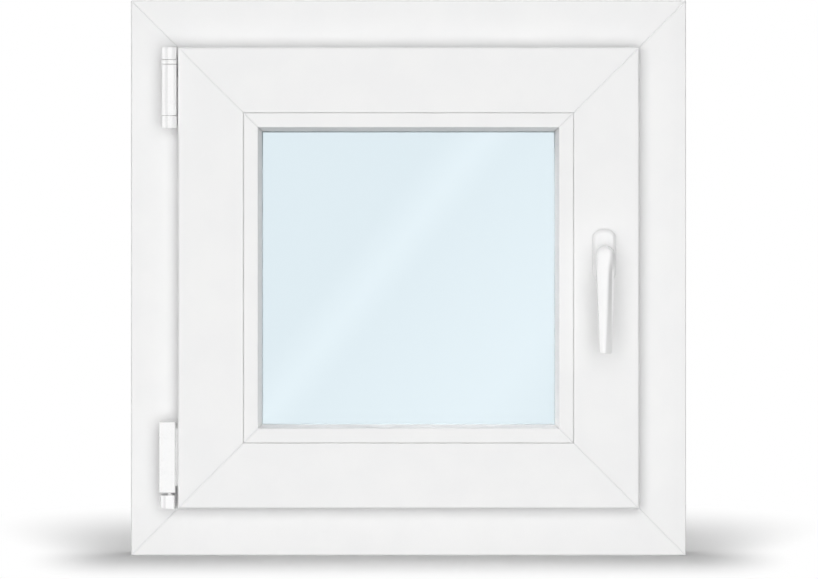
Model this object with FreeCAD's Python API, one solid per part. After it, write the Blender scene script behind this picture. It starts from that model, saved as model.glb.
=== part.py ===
import FreeCAD, Part
import math
import os
from FreeCAD import Vector

# Tilt and turn window in white plastic, hinged on the left as seen from the room.
# Millimetres. X runs along the wall, +Y points outdoors, +Z points up. The origin is on the
# underside of the frame, at the middle of its width and of its depth.
# Sections are drawn with "inward", the distance from the outer edge of the frame towards the
# glass, and "depth", which is Y.

# Frame
FRAME_WIDTH = 600.0
FRAME_HEIGHT = 600.0
FRAME_DEPTH = 70.0
FRAME_FACE = 51.5
FRAME_EDGE_RADIUS = 1.5
OVERLAP = 8.0
FITTING_GAP = 12.0
SEAL_GAP = 5.0
LIP_THICKNESS = 20.0
LIP_FALL = 3.0
LIP_RADIUS = 2.5
REBATE_RADIUS = 3.0
CHANNEL_WIDTH = 13.0
CHANNEL_DEPTH = 4.0
CHANNEL_SLOPE = 2.0
ANCHOR_OFFSET = 20.0
ANCHOR_MOUTH = 8.0
ANCHOR_FLOOR = 11.0
ANCHOR_DEPTH = 5.0
FIXING_RADIUS = 4.0
FIXING_FROM_CORNER = 150.0
FIXING_DEPTH = -8.0
WELD_GROOVE_WIDTH = 1.2
WELD_GROOVE_DEPTH = 0.5

# Sash
FLANGE_THICKNESS = 15.0
FLANGE_RADIUS = 2.5
SASH_FACE = 70.5
SASH_BACK_RADIUS = 2.0
GROOVE_WIDTH = 16.4
GROOVE_DEPTH = 3.0
GROOVE_SETBACK = 13.0
LEG_THICKNESS = 11.0
LEG_FALL = 5.5
LEG_SLOPE_WIDTH = 17.0
LEG_RADIUS = 1.2
SEAM_RADIUS = 0.6
SEAM_GAP = 0.6
SEAM_DEPTH = 2.5

# Glazing
BEAD_FACE = 15.9
BEAD_SLOPE = 3.5
BEAD_RADIUS = 0.8
CLIP_WIDTH = 4.0
CLIP_DEPTH = 4.0
CLIP_SETBACK = 14.0
CLIP_PLAY = 0.2
PANE_THICKNESS = 4.0
CAVITY = 16.0
GASKET_THICKNESS = 3.0
GASKET_HEIGHT = 9.0
GASKET_RADIUS = 0.8
GASKET_SETBACK = 0.3
GLASS_PLAY = 4.0
SPACER_SETBACK = 3.0
SPACER_HEIGHT = 7.0

# Seals between frame and sash
SEAL_BASE = 5.0
SEAL_SETBACK = 1.5
SEAL_PLAY = 0.4
SEAL_TIP_RADIUS = 1.6

# Turn and tilt axes
HINGE_OFFSET = 9.0
HINGE_DEPTH = 4.0
TILT_HEIGHT = 3.5
TILT_LIMIT = 12.0

# Top hinge
TOP_HINGE_LENGTH = 87.0
TOP_HINGE_RISE = -0.3
KNUCKLE_LENGTH = 13.2
BARREL_RADIUS = 7.7
BARREL_CHAMFER = 1.4
BARREL_GROOVE_WIDTH = 3.0
BARREL_GROOVE_DEPTH = 1.5
BARREL_GROOVE_OFFSET = 3.0
PIN_RADIUS = 3.5
PIN_PLAY = 0.05
SLEEVE_PLAY = 0.05
KNUCKLE_GAP = 0.4
WEB_LEFT = 6.5
WEB_RIGHT = 3.0

# Stay arm
ARM_EYE_LENGTH = 4.6
ARM_THICKNESS = 3.0
ARM_RISE = 2.0
ARM_WIDTH = 16.0
ARM_REACH = 200.0
ARM_TAIL = 12.0
ARM_START = 18.5
CRANK_THICKNESS = 2.2
CRANK_HEIGHT = 17.0
CRANK_LENGTH = 25.0
NECK_HALF_WIDTH = 3.0
STUD_RADIUS = 3.0
STUD_LENGTH = 12.5
STAY_SLOT_WIDTH = 11.0
STAY_SLOT_MARGIN = 2.5
STAY_POCKET_DEPTH = 10.0
RAIL_LENGTH = 250.0
RAIL_START = 20.0
CRANK_NOTCH_MARGIN = 4.0

# Bottom hinge
BEARING_LEFT = 9.7
BEARING_RIGHT = 5.9
BEARING_FRONT = 6.7
BEARING_BELOW = 4.1
BEARING_SLANT = 1.8
BEARING_ABOVE = 11.1
BEARING_RADIUS = 2.0
BEARING_BACK = 8.0
BEARING_EDGE = 0.5
BEARING_GROOVE_OFFSET = 4.7
BEARING_GROOVE_WIDTH = 2.2
BEARING_GROOVE_DEPTH = 0.9
BEARING_GROOVE_TOP = 6.6
TRUNNION_RADIUS = 2.6
TRUNNION_PLAY = 0.1
TRUNNION_LEFT = 4.6
PIVOT_RADIUS = 2.4
PIVOT_PLAY = 0.06
PIVOT_SLOT_PLAY = 0.4
PIVOT_LENGTH = 57.0
BAND_LEFT = 11.2
BAND_RIGHT = 6.5
BAND_FRONT = 6.5
BAND_BACK = 6.5
BAND_RADIUS = 1.6
BAND_EDGE = 0.6
BAND_BOTTOM = 13.8
BAND_LENGTH = 76.2
BAND_WEB_FRONT = 2.0
BAND_WEB_BACK = 8.0
BAND_WEB_MARGIN = 7.0

# Handle
HANDLE_INSET = 89.5
HANDLE_HEIGHT = 324.0
ROSETTE_WIDTH = 25.0
ROSETTE_HEIGHT = 55.8
ROSETTE_CORNER = 9.5
ROSETTE_THICKNESS = 11.0
ROSETTE_ROUND = 4.5
ROSETTE_SOCKET = 4.0
NECK_RADIUS = 7.6
NECK_PLAY = 0.1
HUB_RADIUS = 10.6
HUB_BACK = 10.0
HUB_DEPTH = 19.0
HUB_ROUND = 4.0
ROUND_FLATS = 4
LEVER_LENGTH = 105.0
LEVER_END_WIDTH = 13.2
LEVER_END_SHIFT = 0.4
LEVER_ROOT_THICKNESS = 13.0
LEVER_END_THICKNESS = 9.5
LEVER_BOW = 2.5
LEVER_RIDGE_ROOT = 3.4
LEVER_RIDGE_END = -1.7
LEVER_RIM_ROOT = 3.2
LEVER_RIM_END = 0.9
LEVER_FLUTE = 0.62
LEVER_RIM = 0.74
LEVER_CORNER = 0.6

# Lock gear
PLATE_WIDTH = 16.0
PLATE_THICKNESS = 2.6
PLATE_LENGTH = 400.0
CAM_SPACING = 300.0
CAM_RADIUS = 3.2
CAM_HEAD_RADIUS = 4.8
CAM_REACH = 7.0
CAM_HEAD_THICKNESS = 2.4
KEEP_LENGTH = 40.0
KEEP_BASE = 2.0
KEEP_WIDTH = 22.0
KEEP_LIP = 3.0
KEEP_LIP_RISE = 6.0
KEEP_OFFSET = 10.0

# Drain covers
DRAIN_WIDTH = 42.0
DRAIN_HEIGHT = 14.0
DRAIN_THICKNESS = 4.5
DRAIN_SPACING = 300.0
DRAIN_LEVEL = 24.0
DRAIN_EDGE = 2.4
DRAIN_WALL = 1.2
DRAIN_SLOT_LENGTH = 28.0
DRAIN_SLOT_WIDTH = 5.0

# Depths that follow from the sizes above
ROOM_FACE = -FRAME_DEPTH / 2
OUTER_FACE = FRAME_DEPTH / 2
LIP_FACE = OUTER_FACE - LIP_THICKNESS
FLANGE_BACK = ROOM_FACE - SEAL_GAP
SASH_FRONT = FLANGE_BACK - FLANGE_THICKNESS
SASH_BACK = LIP_FACE - SEAL_GAP
GROOVE_CENTRE = FLANGE_BACK + GROOVE_SETBACK
LEG_FACE = SASH_BACK - LEG_THICKNESS
OUTER_GLASS = LEG_FACE - GASKET_THICKNESS
OUTER_CAVITY = OUTER_GLASS - PANE_THICKNESS
INNER_CAVITY = OUTER_CAVITY - CAVITY
INNER_GLASS = INNER_CAVITY - PANE_THICKNESS
BEAD_BACK = INNER_GLASS - GASKET_THICKNESS
CLIP_CENTRE = SASH_FRONT + CLIP_SETBACK

# Inward distances that follow
REBATE = FRAME_FACE + OVERLAP
SASH_EDGE = REBATE + FITTING_GAP
LIP_EDGE = SASH_EDGE + OVERLAP
GROOVE_FLOOR = SASH_EDGE + GROOVE_DEPTH
BEAD_LINE = FRAME_FACE + SASH_FACE
SIGHT_LINE = BEAD_LINE + BEAD_FACE + BEAD_SLOPE
GLASS_EDGE = BEAD_LINE + GLASS_PLAY

# Axes that follow
AXIS_X = -FRAME_WIDTH / 2 + FRAME_FACE - HINGE_OFFSET
AXIS_Y = SASH_FRONT + HINGE_DEPTH
TILT_Z = FRAME_FACE + TILT_HEIGHT
HANDLE_X = FRAME_WIDTH / 2 - HANDLE_INSET
SASH_TOP = FRAME_HEIGHT - SASH_EDGE
FLANGE_TOP = FRAME_HEIGHT - FRAME_FACE
TOP_HINGE_TOP = FLANGE_TOP + TOP_HINGE_RISE
TOP_HINGE_BOTTOM = TOP_HINGE_TOP - TOP_HINGE_LENGTH
EYE_TOP = TOP_HINGE_TOP - KNUCKLE_LENGTH - KNUCKLE_GAP
EYE_BOTTOM = EYE_TOP - ARM_EYE_LENGTH
ARM_Y = GROOVE_CENTRE
STUD_X = AXIS_X + ARM_REACH

os.makedirs("parts", exist_ok=True)


def save(shape, node):
    shape.exportStep("parts/" + node + ".step")


def box(x0, x1, y0, y1, z0, z1):
    return Part.makeBox(x1 - x0, y1 - y0, z1 - z0, Vector(x0, y0, z0))


def rod_x(x0, x1, y, z, radius):
    return Part.makeCylinder(radius, x1 - x0, Vector(x0, y, z), Vector(1, 0, 0))


def rod_y(x, y0, y1, z, radius):
    return Part.makeCylinder(radius, y1 - y0, Vector(x, y0, z), Vector(0, 1, 0))


def rod_z(x, y, z0, z1, radius):
    return Part.makeCylinder(radius, z1 - z0, Vector(x, y, z0), Vector(0, 0, 1))


def rounded_wire(corners, flats=False):
    """Closed wire through (point, radius) corners, each rounded by its radius or cut flat across."""
    starts = []
    arcs = []
    ends = []
    for index, (point, radius) in enumerate(corners):
        before = corners[index - 1][0]
        after = corners[(index + 1) % len(corners)][0]
        to_before = (before - point).normalize()
        to_after = (after - point).normalize()
        if radius <= 0:
            starts.append(point)
            arcs.append(None)
            ends.append(point)
            continue
        half_angle = to_before.getAngle(to_after) / 2
        trim = radius / math.tan(half_angle)
        bisector = (to_before + to_after).normalize()
        middle = point + bisector * (radius / math.sin(half_angle) - radius)
        start = point + to_before * trim
        end = point + to_after * trim
        starts.append(start)
        arcs.append(Part.makeLine(start, end) if flats else Part.Arc(start, middle, end).toShape())
        ends.append(end)
    edges = []
    for index in range(len(corners)):
        if arcs[index]:
            edges.append(arcs[index])
        following = starts[(index + 1) % len(corners)]
        if ends[index].distanceToPoint(following) > 1e-6:
            edges.append(Part.makeLine(ends[index], following))
    return Part.Wire(edges)


def section(corners):
    """Face of a profile from (inward, depth, radius) corners."""
    wire = rounded_wire([(Vector(0, depth, inward), radius) for inward, depth, radius in corners])
    return Part.Face(wire)


def weld_groove(corner, side, face, into, reach):
    """V groove along the mitre from a corner, sunk into the face at one depth."""
    start = Vector(corner, face, 0)
    along = Vector(side, 0, 1)
    across = Vector(side, 0, -1).normalize() * WELD_GROOVE_WIDTH
    sunk = Vector(0, into * WELD_GROOVE_DEPTH, 0)
    left = start - across - sunk
    right = start + across - sunk
    outline = Part.makePolygon([left, right, start + sunk, left])
    return Part.Face(outline).extrude(along * reach)


def mitred_bar(profile, length, welded):
    """Profile extruded along X, both ends cut back at 45 degrees from the outer corner."""
    limits = profile.BoundBox
    half = length / 2
    reach = limits.ZMax + 1
    bar = profile.translated(Vector(-half, 0, 0)).extrude(Vector(length, 0, 0))
    outline = Part.makePolygon([
        Vector(-half, limits.YMin - 1, 0),
        Vector(half, limits.YMin - 1, 0),
        Vector(half - reach, limits.YMin - 1, reach),
        Vector(reach - half, limits.YMin - 1, reach),
        Vector(-half, limits.YMin - 1, 0),
    ])
    wedge = Part.Face(outline).extrude(Vector(0, limits.YLength + 2, 0))
    bar = bar.common(wedge)
    if welded:
        grooves = []
        for corner, side in ((-half, 1), (half, -1)):
            for face, into in ((limits.YMin, 1), (limits.YMax, -1)):
                grooves.append(weld_groove(corner, side, face, into, reach))
        bar = bar.cut(grooves)
    return bar.Solids[0]


def placed(shape, x, z, angle):
    turned = shape.copy()
    turned.Placement = FreeCAD.Placement(Vector(x, 0, z), FreeCAD.Rotation(Vector(0, 1, 0), angle))
    return turned


def four_sides(profile, welded):
    """Mitred bars of one profile on the bottom, top, left and right of the window."""
    level = mitred_bar(profile, FRAME_WIDTH, welded)
    upright = mitred_bar(profile, FRAME_HEIGHT, welded)
    return {
        "bottom": placed(level, 0, 0, 0),
        "top": placed(level, 0, FRAME_HEIGHT, 180),
        "left": placed(upright, -FRAME_WIDTH / 2, FRAME_HEIGHT / 2, 90),
        "right": placed(upright, FRAME_WIDTH / 2, FRAME_HEIGHT / 2, -90),
    }


def ring(profile):
    sides = four_sides(profile, False)
    whole = sides["bottom"].fuse([sides["left"], sides["top"], sides["right"]])
    return whole.removeSplitter()


def upright_block(x0, x1, y0, y1, z0, z1, radius):
    """Block with its four upright edges rounded."""
    wire = rounded_wire([
        (Vector(x0, y0, z0), radius),
        (Vector(x1, y0, z0), radius),
        (Vector(x1, y1, z0), radius),
        (Vector(x0, y1, z0), radius),
    ])
    return Part.Face(wire).extrude(Vector(0, 0, z1 - z0))


def frame_profile():
    channel_start = LIP_FACE - CHANNEL_WIDTH
    corners = [
        (0, ROOM_FACE, FRAME_EDGE_RADIUS),
        (REBATE, ROOM_FACE, REBATE_RADIUS),
        (REBATE, channel_start, 0),
        (REBATE - CHANNEL_DEPTH, channel_start + CHANNEL_SLOPE, 0),
        (REBATE - CHANNEL_DEPTH, LIP_FACE, 0),
        (LIP_EDGE, LIP_FACE, LIP_RADIUS),
        (LIP_EDGE - LIP_FALL, OUTER_FACE, LIP_RADIUS),
        (0, OUTER_FACE, FRAME_EDGE_RADIUS),
    ]
    for centre in (ANCHOR_OFFSET, -ANCHOR_OFFSET):
        corners.append((0, centre + ANCHOR_MOUTH / 2, 0))
        corners.append((ANCHOR_DEPTH, centre + ANCHOR_FLOOR / 2, 0))
        corners.append((ANCHOR_DEPTH, centre - ANCHOR_FLOOR / 2, 0))
        corners.append((0, centre - ANCHOR_MOUTH / 2, 0))
    return section(corners)


def sash_profile():
    groove_front = GROOVE_CENTRE - GROOVE_WIDTH / 2
    groove_back = GROOVE_CENTRE + GROOVE_WIDTH / 2
    clip_front = CLIP_CENTRE - CLIP_WIDTH / 2
    clip_back = CLIP_CENTRE + CLIP_WIDTH / 2
    return section([
        (FRAME_FACE, SASH_FRONT, FLANGE_RADIUS),
        (FRAME_FACE, FLANGE_BACK, FRAME_EDGE_RADIUS),
        (SASH_EDGE, FLANGE_BACK, 0),
        (SASH_EDGE, groove_front, 0),
        (GROOVE_FLOOR, groove_front, 0),
        (GROOVE_FLOOR, groove_back, 0),
        (SASH_EDGE, groove_back, 0),
        (SASH_EDGE, SASH_BACK, SASH_BACK_RADIUS),
        (SIGHT_LINE - LEG_SLOPE_WIDTH, SASH_BACK, SASH_BACK_RADIUS),
        (SIGHT_LINE, SASH_BACK - LEG_FALL, LEG_RADIUS),
        (SIGHT_LINE, LEG_FACE, 0),
        (BEAD_LINE, LEG_FACE, 0),
        (BEAD_LINE, clip_back, 0),
        (BEAD_LINE - CLIP_DEPTH, clip_back, 0),
        (BEAD_LINE - CLIP_DEPTH, clip_front, 0),
        (BEAD_LINE, clip_front, 0),
        (BEAD_LINE, SASH_FRONT, SEAM_RADIUS),
    ])


def bead_profile():
    foot_front = CLIP_CENTRE - CLIP_WIDTH / 2 + CLIP_PLAY
    foot_back = CLIP_CENTRE + CLIP_WIDTH / 2 - CLIP_PLAY
    foot_end = BEAD_LINE - CLIP_DEPTH + CLIP_PLAY
    return section([
        (BEAD_LINE + SEAM_GAP, SASH_FRONT, SEAM_RADIUS),
        (BEAD_LINE + BEAD_FACE, SASH_FRONT, BEAD_RADIUS),
        (SIGHT_LINE, BEAD_BACK, 0),
        (BEAD_LINE, BEAD_BACK, 0),
        (BEAD_LINE, foot_back, 0),
        (foot_end, foot_back, 0),
        (foot_end, foot_front, 0),
        (BEAD_LINE, foot_front, 0),
        (BEAD_LINE, SASH_FRONT + SEAM_DEPTH, 0),
        (BEAD_LINE + SEAM_GAP, SASH_FRONT + SEAM_DEPTH, 0),
    ])


def strip_profile(start, end, front, back, radius):
    """Plain strip between two depths, its glass-side end rounded."""
    return section([(start, front, 0), (end, front, radius), (end, back, radius), (start, back, 0)])


def seal_profile(start, seat, tip):
    """Bulb on a flat base at the seat depth, rounded towards the tip depth."""
    lean = (SEAL_BASE - 2 * SEAL_TIP_RADIUS) / 4
    return section([
        (start, seat, 0),
        (start + SEAL_BASE, seat, 0),
        (start + SEAL_BASE - lean, tip, SEAL_TIP_RADIUS),
        (start + lean, tip, SEAL_TIP_RADIUS),
    ])


def pane(front, back):
    half = FRAME_WIDTH / 2 - GLASS_EDGE
    return box(-half, half, front, back, GLASS_EDGE, FRAME_HEIGHT - GLASS_EDGE)


def barrel(z0, z1, bore):
    """Length of the hinge barrel with the upright groove in its front."""
    body = rod_z(AXIS_X, AXIS_Y, z0, z1, BARREL_RADIUS)
    groove_x = AXIS_X - BARREL_GROOVE_OFFSET
    front = AXIS_Y - math.sqrt(BARREL_RADIUS ** 2 - BARREL_GROOVE_OFFSET ** 2)
    groove = box(
        groove_x - BARREL_GROOVE_WIDTH / 2, groove_x + BARREL_GROOVE_WIDTH / 2,
        front - BARREL_RADIUS, front + BARREL_GROOVE_DEPTH, z0, z1)
    return body.cut([groove, rod_z(AXIS_X, AXIS_Y, z0, z1, bore)])


def knuckle(z0, z1, round_top):
    """Frame knuckle: barrel length rounded at its free end, on a web from the frame."""
    body = rod_z(AXIS_X, AXIS_Y, z0, z1, BARREL_RADIUS)
    flat = [edge for edge in body.Edges if edge.BoundBox.ZLength < 1e-3]
    end = z1 if round_top else z0
    rims = [edge for edge in flat if abs(edge.BoundBox.ZMin - end) < 1e-3]
    body = body.makeChamfer(BARREL_CHAMFER, rims)
    body = body.common(barrel(z0, z1, PIN_RADIUS))
    web_top = z1 - BARREL_CHAMFER if round_top else z1
    web_bottom = z0 if round_top else z0 + BARREL_CHAMFER
    web = box(AXIS_X - WEB_LEFT, AXIS_X + WEB_RIGHT, AXIS_Y, ROOM_FACE, web_bottom, web_top)
    return body.fuse(web.cut(rod_z(AXIS_X, AXIS_Y, z0, z1, PIN_RADIUS))).removeSplitter()


def drain_cover(x):
    """Hood on the outer face, open at its underside."""
    front = OUTER_FACE + DRAIN_THICKNESS
    bottom = DRAIN_LEVEL - DRAIN_HEIGHT / 2
    top = DRAIN_LEVEL + DRAIN_HEIGHT / 2
    half = DRAIN_WIDTH / 2
    hood = box(x - half, x + half, OUTER_FACE, front, bottom, top)
    rims = [edge for edge in hood.Edges if edge.BoundBox.YMin > OUTER_FACE + DRAIN_THICKNESS / 2]
    hood = hood.makeChamfer(DRAIN_EDGE, [edge for edge in rims if edge.BoundBox.ZMax > bottom + 1e-3])
    hollow = box(
        x - half + DRAIN_EDGE, x + half - DRAIN_EDGE,
        OUTER_FACE, front - DRAIN_WALL, bottom, top - DRAIN_EDGE)
    return hood.cut(hollow)


def drain_passage(x):
    """Slot down from the drain channel, then out through the outer face behind a cover."""
    half = DRAIN_SLOT_LENGTH / 2
    back = LIP_FACE - CHANNEL_DEPTH
    floor = DRAIN_LEVEL - DRAIN_SLOT_WIDTH / 2
    down = box(x - half, x + half, back - DRAIN_SLOT_WIDTH, back, floor, REBATE)
    out = box(x - half, x + half, back - DRAIN_SLOT_WIDTH, OUTER_FACE, floor, floor + DRAIN_SLOT_WIDTH)
    return down.fuse(out)


def build_frame():
    sides = four_sides(frame_profile(), True)
    for side, sign in (("left", -1), ("right", 1)):
        for z in (REBATE + FIXING_FROM_CORNER, FRAME_HEIGHT - REBATE - FIXING_FROM_CORNER):
            outer = sign * FRAME_WIDTH / 2
            inner = outer - sign * REBATE
            hole = rod_x(min(outer, inner) - 1, max(outer, inner) + 1, FIXING_DEPTH, z, FIXING_RADIUS)
            sides[side] = sides[side].cut(hole)
    covers = []
    drains = []
    for x in (-DRAIN_SPACING / 2, DRAIN_SPACING / 2):
        covers.append(drain_cover(x))
        drains.append(drain_passage(x))
    save(sides["top"], "frame_head")
    save(sides["bottom"].cut(drains), "frame_sill")
    save(sides["left"], "frame_hinge_jamb")
    save(sides["right"], "frame_lock_jamb")
    save(ring(seal_profile(SASH_EDGE + SEAL_SETBACK, LIP_FACE, SASH_BACK + SEAL_PLAY)), "frame_seal")
    save(Part.makeCompound(covers), "drain_covers")


def build_sash():
    sides = four_sides(sash_profile(), True)
    slide = ARM_REACH * (1 - math.cos(math.radians(arm_limit()))) + STUD_RADIUS + STAY_SLOT_MARGIN
    slot = box(
        STUD_X - slide, STUD_X + STUD_RADIUS + STAY_SLOT_MARGIN,
        ARM_Y - STAY_SLOT_WIDTH / 2, ARM_Y + STAY_SLOT_WIDTH / 2,
        FRAME_HEIGHT - GROOVE_FLOOR - STAY_POCKET_DEPTH, SASH_TOP)
    save(sides["top"].cut(slot), "sash_top_rail")
    save(sides["bottom"], "sash_bottom_rail")
    save(sides["left"], "sash_hinge_stile")
    save(sides["right"], "sash_lock_stile")
    rail = box(
        AXIS_X + HINGE_OFFSET + RAIL_START, AXIS_X + HINGE_OFFSET + RAIL_START + RAIL_LENGTH,
        ARM_Y - PLATE_WIDTH / 2, ARM_Y + PLATE_WIDTH / 2,
        FRAME_HEIGHT - GROOVE_FLOOR, FRAME_HEIGHT - GROOVE_FLOOR + PLATE_THICKNESS)
    save(rail.cut(slot), "stay_guide_rail")
    seal = ring(seal_profile(FRAME_FACE + SEAL_SETBACK, FLANGE_BACK, ROOM_FACE - SEAL_PLAY))
    notch = box(
        -FRAME_WIDTH / 2, AXIS_X + CRANK_LENGTH,
        FLANGE_BACK, ROOM_FACE,
        EYE_TOP - CRANK_HEIGHT - CRANK_NOTCH_MARGIN, EYE_TOP + CRANK_NOTCH_MARGIN)
    save(seal.cut(notch), "sash_seal")


def build_glazing():
    for side, bead in four_sides(bead_profile(), True).items():
        save(bead, "glazing_bead_" + side)
    lip = SIGHT_LINE - GASKET_SETBACK
    inner = strip_profile(lip - GASKET_HEIGHT, lip, BEAD_BACK, INNER_GLASS, GASKET_RADIUS)
    outer = strip_profile(lip - GASKET_HEIGHT, lip, OUTER_GLASS, LEG_FACE, GASKET_RADIUS)
    save(ring(inner), "inner_glazing_gasket")
    save(ring(outer), "outer_glazing_gasket")
    save(pane(INNER_GLASS, INNER_CAVITY), "inner_pane")
    save(pane(OUTER_CAVITY, OUTER_GLASS), "outer_pane")
    spacer_start = GLASS_EDGE + SPACER_SETBACK
    save(ring(strip_profile(
        spacer_start, spacer_start + SPACER_HEIGHT, INNER_CAVITY, OUTER_CAVITY, 0)), "glazing_spacer")


def arm_limit():
    """Arm angle that keeps the stud over its groove when the sash is tilted right open."""
    tilt = math.radians(TILT_LIMIT)
    setback = ARM_Y - AXIS_Y
    height = SASH_TOP - TILT_Z
    travel = height * math.sin(tilt) - setback * math.cos(tilt)
    return math.degrees(math.asin(travel / math.hypot(ARM_REACH, setback)) + math.atan2(setback, ARM_REACH))


def build_top_hinge():
    upper = knuckle(TOP_HINGE_TOP - KNUCKLE_LENGTH, TOP_HINGE_TOP, True)
    lower = knuckle(TOP_HINGE_BOTTOM, TOP_HINGE_BOTTOM + KNUCKLE_LENGTH, False)
    plate = box(
        AXIS_X - WEB_LEFT, AXIS_X - WEB_LEFT + CRANK_THICKNESS,
        ROOM_FACE - CRANK_THICKNESS, ROOM_FACE,
        TOP_HINGE_BOTTOM + BARREL_CHAMFER, TOP_HINGE_TOP - BARREL_CHAMFER)
    save(upper.fuse([lower, plate]).removeSplitter(), "top_hinge_bracket")
    pin = rod_z(
        AXIS_X, AXIS_Y,
        TOP_HINGE_BOTTOM + BARREL_CHAMFER, TOP_HINGE_TOP - BARREL_CHAMFER, PIN_RADIUS - PIN_PLAY)
    save(pin, "top_hinge_pin")
    sleeve = barrel(
        TOP_HINGE_BOTTOM + KNUCKLE_LENGTH + KNUCKLE_GAP, EYE_BOTTOM - KNUCKLE_GAP, PIN_RADIUS + SLEEVE_PLAY)
    save(sleeve, "top_hinge_sleeve")


def build_stay_arm():
    arm_top = EYE_TOP + ARM_RISE
    arm_bottom = arm_top - ARM_THICKNESS
    eye = barrel(EYE_BOTTOM, EYE_TOP, PIN_RADIUS + SLEEVE_PLAY)
    crank_middle = (FLANGE_BACK + ROOM_FACE) / 2
    crank_front = crank_middle - CRANK_THICKNESS / 2
    crank_back = crank_middle + CRANK_THICKNESS / 2
    neck = box(
        AXIS_X - NECK_HALF_WIDTH, AXIS_X + NECK_HALF_WIDTH,
        AXIS_Y + PIN_RADIUS + SLEEVE_PLAY, crank_back, EYE_BOTTOM, EYE_TOP)
    crank = box(
        AXIS_X - NECK_HALF_WIDTH, AXIS_X + CRANK_LENGTH,
        crank_front, crank_back, EYE_TOP - CRANK_HEIGHT, EYE_TOP)
    riser = box(
        AXIS_X + ARM_START, AXIS_X + CRANK_LENGTH, crank_front, crank_back, EYE_BOTTOM, arm_top)
    bar = box(
        AXIS_X + ARM_START, STUD_X + ARM_TAIL,
        ARM_Y - ARM_WIDTH / 2, ARM_Y + ARM_WIDTH / 2, arm_bottom, arm_top)
    tail = [edge for edge in bar.Edges if abs(edge.BoundBox.XMin - STUD_X - ARM_TAIL) < 1e-3]
    tail = [edge for edge in tail if edge.BoundBox.ZLength > ARM_THICKNESS / 2]
    bar = bar.makeFillet(ARM_WIDTH / 2 - ARM_THICKNESS, tail)
    shoulder = box(
        AXIS_X + ARM_START, AXIS_X + CRANK_LENGTH, crank_front, ARM_Y, arm_bottom, arm_top)
    stud = rod_z(STUD_X, ARM_Y, arm_bottom - STUD_LENGTH, arm_bottom, STUD_RADIUS)
    save(eye.fuse([neck, crank, riser, bar, shoulder, stud]).removeSplitter(), "stay_arm")


def build_bottom_hinge():
    top = TILT_Z + BEARING_ABOVE
    bearing = upright_block(
        AXIS_X - BEARING_LEFT, AXIS_X + BEARING_RIGHT,
        AXIS_Y - BEARING_FRONT, AXIS_Y + BEARING_BACK,
        TILT_Z - BEARING_BELOW, top, BEARING_RADIUS)
    rims = [edge for edge in bearing.Edges if edge.BoundBox.ZMin > top - 1e-3]
    bearing = bearing.makeChamfer(BEARING_EDGE, rims)
    foot = box(
        AXIS_X - BEARING_LEFT + BEARING_RADIUS, AXIS_X + BEARING_RIGHT - BEARING_RADIUS,
        AXIS_Y + BEARING_RADIUS, ROOM_FACE, TILT_Z - BEARING_BELOW, top - BEARING_EDGE)
    bearing = bearing.fuse(foot)
    trunnion_bore = rod_x(
        AXIS_X - TRUNNION_LEFT - TRUNNION_PLAY, AXIS_X + BEARING_RIGHT,
        AXIS_Y, TILT_Z, TRUNNION_RADIUS + TRUNNION_PLAY)
    half_slot = PIVOT_RADIUS + PIVOT_SLOT_PLAY
    lean = BEARING_ABOVE * math.tan(math.radians(TILT_LIMIT))
    slot = box(
        AXIS_X - half_slot, AXIS_X + half_slot, AXIS_Y - half_slot - lean, AXIS_Y + half_slot, TILT_Z, top)
    slant = Part.Face(Part.makePolygon([
        Vector(AXIS_X - BEARING_LEFT, AXIS_Y - BEARING_FRONT, TILT_Z - BEARING_BELOW),
        Vector(AXIS_X + BEARING_RIGHT, AXIS_Y - BEARING_FRONT, TILT_Z - BEARING_BELOW),
        Vector(AXIS_X - BEARING_LEFT, AXIS_Y - BEARING_FRONT, TILT_Z - BEARING_BELOW + BEARING_SLANT),
        Vector(AXIS_X - BEARING_LEFT, AXIS_Y - BEARING_FRONT, TILT_Z - BEARING_BELOW),
    ])).extrude(Vector(0, ROOM_FACE - AXIS_Y + BEARING_FRONT, 0))
    groove_x = AXIS_X - BEARING_GROOVE_OFFSET
    groove = box(
        groove_x - BEARING_GROOVE_WIDTH / 2, groove_x + BEARING_GROOVE_WIDTH / 2,
        AXIS_Y - BEARING_FRONT, AXIS_Y - BEARING_FRONT + BEARING_GROOVE_DEPTH,
        TILT_Z - BEARING_BELOW, TILT_Z + BEARING_GROOVE_TOP)
    save(bearing.cut([trunnion_bore, slot, slant, groove]).removeSplitter(), "bottom_hinge_bearing")
    trunnion = rod_x(
        AXIS_X - TRUNNION_LEFT, AXIS_X + BEARING_RIGHT - TRUNNION_PLAY, AXIS_Y, TILT_Z, TRUNNION_RADIUS)
    pin = rod_z(AXIS_X, AXIS_Y, TILT_Z, TILT_Z + PIVOT_LENGTH, PIVOT_RADIUS)
    save(trunnion.fuse(pin).removeSplitter(), "bottom_hinge_pivot")
    band_bottom = TILT_Z + BAND_BOTTOM
    band_top = band_bottom + BAND_LENGTH
    band = upright_block(
        AXIS_X - BAND_LEFT, AXIS_X + BAND_RIGHT,
        AXIS_Y - BAND_FRONT, AXIS_Y + BAND_BACK, band_bottom, band_top, BAND_RADIUS)
    rims = [edge for edge in band.Edges if edge.BoundBox.ZLength < 1e-3]
    band = band.makeChamfer(BAND_EDGE, rims)
    web = box(
        AXIS_X + BAND_RIGHT - BAND_RADIUS, AXIS_X + HINGE_OFFSET,
        AXIS_Y + BAND_WEB_FRONT, AXIS_Y + BAND_WEB_BACK,
        band_bottom + BAND_WEB_MARGIN, band_top - BAND_WEB_MARGIN)
    bore = rod_z(AXIS_X, AXIS_Y, band_bottom, TILT_Z + PIVOT_LENGTH + PIVOT_PLAY, PIVOT_RADIUS + PIVOT_PLAY)
    save(band.fuse(web).cut(bore).removeSplitter(), "bottom_hinge_band")


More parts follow.
